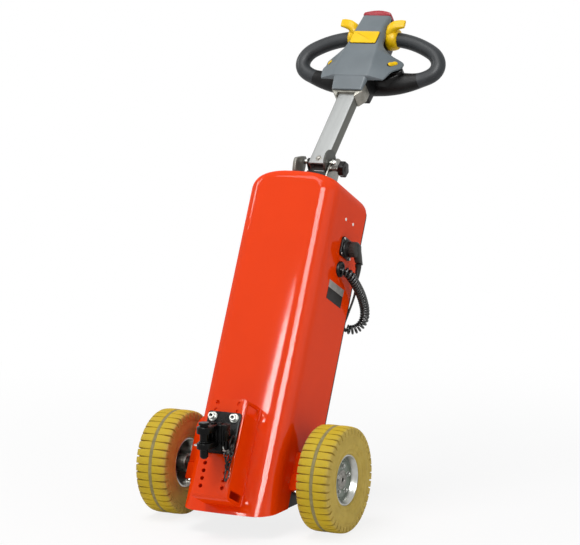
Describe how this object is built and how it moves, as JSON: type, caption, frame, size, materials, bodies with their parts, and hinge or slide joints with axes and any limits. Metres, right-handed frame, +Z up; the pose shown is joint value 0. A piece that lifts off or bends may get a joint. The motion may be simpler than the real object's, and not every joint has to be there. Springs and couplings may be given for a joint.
{
  "type": "electric tow tug",
  "caption": "Walk-behind electric tow tug: leaning sheet-metal body on two driven wheels and a castor, pin coupling in front, hinged tiller with loop handles.",
  "frame": {"origin": "on the floor, in the middle of the footprint box", "axes": "+Z up, the coupling faces -Y, +X is the side with the charging plug"},
  "size_m": [0.525, 1.0248, 1.2324],
  "materials": {
    "red_paint": "glossy",
    "black_paint": "satin",
    "zinc": "satin",
    "steel": "machined",
    "aluminium": "extruded, satin",
    "cast_black": "black coated",
    "tyre_olive": "matte, non-marking",
    "castor_rubber": "matte",
    "grey_plastic": "fine grain",
    "dark_plastic": "fine grain",
    "yellow_plastic": "satin",
    "red_plastic": "glossy",
    "black_plastic": "satin",
    "cable_black": "satin",
    "plate": "blank",
    "battery": "plain"
  },
  "bodies": {
    "chassis": {"shell": "red_paint", "back_panel": "black_paint", "base_tray": "black_paint", "battery_pack": "battery", "drive_unit": "steel", "axle_tube_left": "steel", "axle_tube_right": "steel", "axle_bracket_upper_left": "red_paint", "axle_bracket_upper_right": "red_paint", "axle_bracket_lower_left": "red_paint", "axle_bracket_lower_right": "red_paint", "hitch_bracket": "red_paint", "coupling_body": "cast_black", "coupling_pin": "cast_black", "coupling_latch": "cast_black", "coupling_bolts": "zinc", "coupling_chain": "cast_black", "castor_arm": "black_paint", "castor_plate": "zinc", "tiller_bracket": "black_paint", "hinge_pin": "zinc", "clamp_knob": "black_plastic", "clamp_lever": "steel", "socket_flange": "black_plastic", "charge_plug": "dark_plastic", "lead_grommet": "black_plastic", "curly_cord": "cable_black", "plug_lead": "cable_black", "rating_plate": "plate"},
    "wheel_right": {"tyre_right": "tyre_olive", "rim_right": "zinc", "hub_right": "steel"},
    "wheel_left": {"tyre_left": "tyre_olive", "rim_left": "zinc", "hub_left": "steel"},
    "castor_fork": {"castor_fork": "zinc", "castor_axle": "zinc"},
    "castor_wheel": {"castor_wheel": "castor_rubber"},
    "tiller": {"tiller_tube": "aluminium", "tiller_disc": "steel", "tiller_shoe": "aluminium", "head_cover": "grey_plastic", "head_housing": "black_plastic", "handle_right": "dark_plastic", "handle_left": "dark_plastic", "paddle_right": "yellow_plastic", "paddle_left": "yellow_plastic", "horn_button": "yellow_plastic", "belly_button": "red_plastic", "speed_rockers": "yellow_plastic"}
  },
  "joints": [
    {"name": "wheel_right_roll", "type": "hinge", "parent": "chassis", "child": "wheel_right", "pos_m": [0.22, -0.2429, 0.13], "axis": [1, 0, 0], "continuous": true},
    {"name": "wheel_left_roll", "type": "hinge", "parent": "chassis", "child": "wheel_left", "pos_m": [-0.22, -0.2429, 0.13], "axis": [1, 0, 0], "continuous": true},
    {"name": "castor_swivel", "type": "hinge", "parent": "chassis", "child": "castor_fork", "pos_m": [0, 0.0021, 0.115], "axis": [0, 0, 1], "continuous": true},
    {"name": "castor_roll", "type": "hinge", "parent": "castor_fork", "child": "castor_wheel", "pos_m": [0, 0.0341, 0.05], "axis": [1, 0, 0], "continuous": true},
    {"name": "tiller_hinge", "type": "hinge", "parent": "chassis", "child": "tiller", "pos_m": [0, 0.12251, 0.85759], "axis": [1, 0, 0], "range_deg": [-40, 22]}
  ]
}
